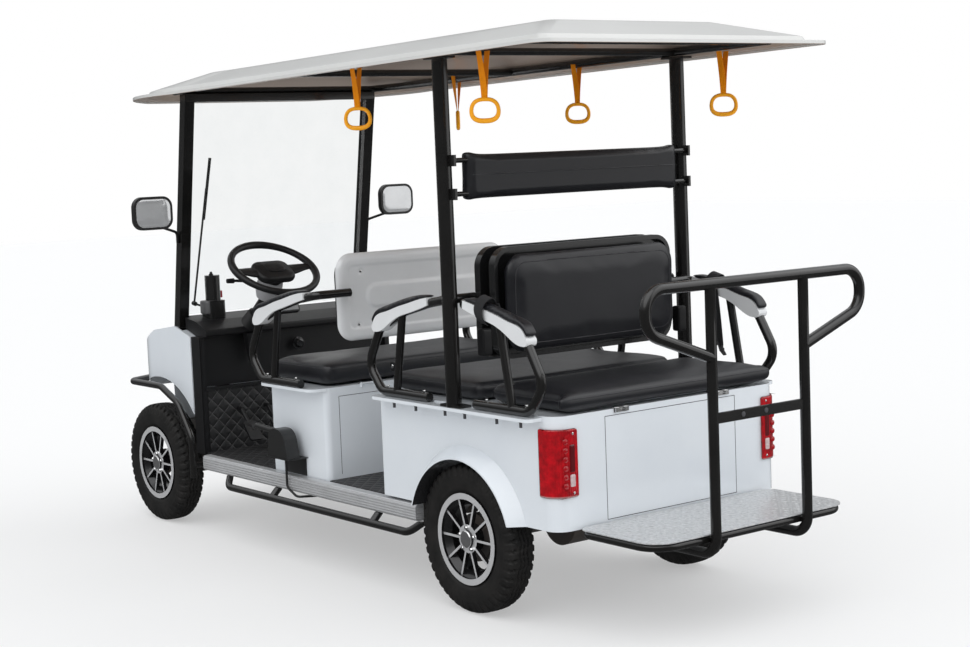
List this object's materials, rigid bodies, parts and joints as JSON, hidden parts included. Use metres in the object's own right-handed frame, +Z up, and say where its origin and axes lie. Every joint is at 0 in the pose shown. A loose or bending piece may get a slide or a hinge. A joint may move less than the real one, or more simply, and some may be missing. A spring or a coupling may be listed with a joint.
{
  "type": "golf cart",
  "caption": "Open electric golf cart with a roof, front bench, back-to-back middle and rear benches, armrests, a rear step with grab hoop and steered front wheels.",
  "frame": {"origin": "on the ground under the centre of the cart's bounding box", "axes": "+X forward, +Y to the cart's left, +Z up"},
  "size_m": [3.608, 1.498, 2.101],
  "materials": {
    "frame_paint": "satin black paint",
    "black_panel": "matt black moulding",
    "mat": "quilted black mat",
    "sill_aluminium": "ribbed extrusion",
    "black_tube": "gloss black powder coat",
    "white_body": "gloss white moulding",
    "white_trim": "gloss white moulding",
    "gloss_black": "gloss black moulding",
    "black_vinyl": "grained black vinyl",
    "lamp_red": "clear red lens",
    "lamp_clear": "clear lens",
    "screen_glass": "clear",
    "battery_case": "plain block",
    "wheel_black": "soft black grip",
    "wiper_black": "matt black",
    "motor_black": "black can",
    "handle_orange": "orange moulding",
    "step_aluminium": "chequer plate",
    "cable_black": "black sheath",
    "motor_grey": "plain block",
    "tyre": "black rubber",
    "rim": "machined alloy"
  },
  "bodies": {
    "cart": {"chassis_frame": "frame_paint", "floor_pan": "black_panel", "floor_mats": "mat", "sills": "sill_aluminium", "side_bars": "black_tube", "rear_body": "white_body", "tail_lamps": "lamp_red", "seat_box": "white_body", "battery_pack": "battery_case", "mid_cushion": "black_vinyl", "front_back_shell": "white_trim", "front_back_pad": "black_vinyl", "mid_back_shell": "gloss_black", "mid_back_pad": "black_vinyl", "rear_back_shell": "gloss_black", "rear_back_pad": "black_vinyl", "upper_roll": "black_vinyl", "armrests_front": "black_tube", "armrests_mid": "black_tube", "armrests_rear": "black_tube", "armrest_pads": "black_vinyl", "armrest_trims": "white_trim", "roof_posts": "black_tube", "roof_frame": "black_tube", "roof": "white_body", "front_frame": "black_tube", "windscreen": "screen_glass", "front_cowl": "white_body", "headlamps": "lamp_clear", "dashboard": "black_panel", "firewall": "black_panel", "front_guard": "black_tube", "steering_column": "gloss_black", "pedals": "wheel_black", "wiper_motor": "motor_black", "mirrors": "wiper_black", "grab_handles": "handle_orange", "step_plate": "step_aluminium", "step_frame": "black_tube", "parking_brake": "wiper_black", "brake_cable": "cable_black", "front_axle": "frame_paint", "rear_axle": "frame_paint", "drive_motor": "motor_grey", "leaf_springs": "frame_paint"},
    "knuckle_left": {"knuckle_left": "frame_paint"},
    "knuckle_right": {"knuckle_right": "frame_paint"},
    "rack": {"steering_rack": "frame_paint"},
    "steering_wheel": {"steering_wheel": "wheel_black"},
    "front_seat": {"front_cushion": "black_vinyl"},
    "rear_seat": {"rear_cushion": "black_vinyl"},
    "wiper": {"wiper": "wiper_black"},
    "wheel_front_left": {"tyre_front_left": "tyre", "rim_front_left": "rim"},
    "wheel_front_right": {"tyre_front_right": "tyre", "rim_front_right": "rim"},
    "wheel_rear_left": {"tyre_rear_left": "tyre", "rim_rear_left": "rim"},
    "wheel_rear_right": {"tyre_rear_right": "tyre", "rim_rear_right": "rim"}
  },
  "joints": [
    {"name": "steer_left", "type": "hinge", "parent": "cart", "child": "knuckle_left", "pos_m": [1.504, 0.414, 0.272], "axis": [0, 0, 1], "range_deg": [-28, 28]},
    {"name": "steer_right", "type": "hinge", "parent": "cart", "child": "knuckle_right", "pos_m": [1.504, -0.414, 0.272], "axis": [0, 0, 1], "range_deg": [-28, 28]},
    {"name": "rack_slide", "type": "slide", "parent": "cart", "child": "rack", "axis": [0, 1, 0], "range_m": [-0.05264, 0.05264]},
    {"name": "steering_wheel_turn", "type": "hinge", "parent": "cart", "child": "steering_wheel", "pos_m": [0.866, 0.258, 1.171], "axis": [-0.515, 0, 0.8572], "range_deg": [-340, 340]},
    {"name": "spin_front_left", "type": "hinge", "parent": "knuckle_left", "child": "wheel_front_left", "pos_m": [1.504, 0.504, 0.272], "axis": [0, 1, 0], "continuous": true},
    {"name": "spin_front_right", "type": "hinge", "parent": "knuckle_right", "child": "wheel_front_right", "pos_m": [1.504, -0.504, 0.272], "axis": [0, 1, 0], "continuous": true},
    {"name": "spin_rear_left", "type": "hinge", "parent": "cart", "child": "wheel_rear_left", "pos_m": [-0.862, 0.504, 0.272], "axis": [0, 1, 0], "continuous": true},
    {"name": "spin_rear_right", "type": "hinge", "parent": "cart", "child": "wheel_rear_right", "pos_m": [-0.862, -0.504, 0.272], "axis": [0, 1, 0], "continuous": true},
    {"name": "front_seat_lid", "type": "hinge", "parent": "cart", "child": "front_seat", "pos_m": [0.104, 0, 0.731], "axis": [0, -1, 0], "range_deg": [0, 36]},
    {"name": "rear_seat_lid", "type": "hinge", "parent": "cart", "child": "rear_seat", "pos_m": [-0.912, 0, 0.765], "axis": [0, 1, 0], "range_deg": [0, 22]},
    {"name": "wiper_sweep", "type": "hinge", "parent": "cart", "child": "wiper", "pos_m": [1.31635, 0.41, 1.00546], "axis": [0.9866, 0, 0.1635], "range_deg": [0, 85]}
  ],
  "couplings": [
    {"joint": "steer_right", "follows": "steer_left", "ratio": 1},
    {"joint": "rack_slide", "follows": "steer_left", "m_per_rad": -0.10567},
    {"joint": "steering_wheel_turn", "follows": "steer_left", "ratio": 12}
  ]
}
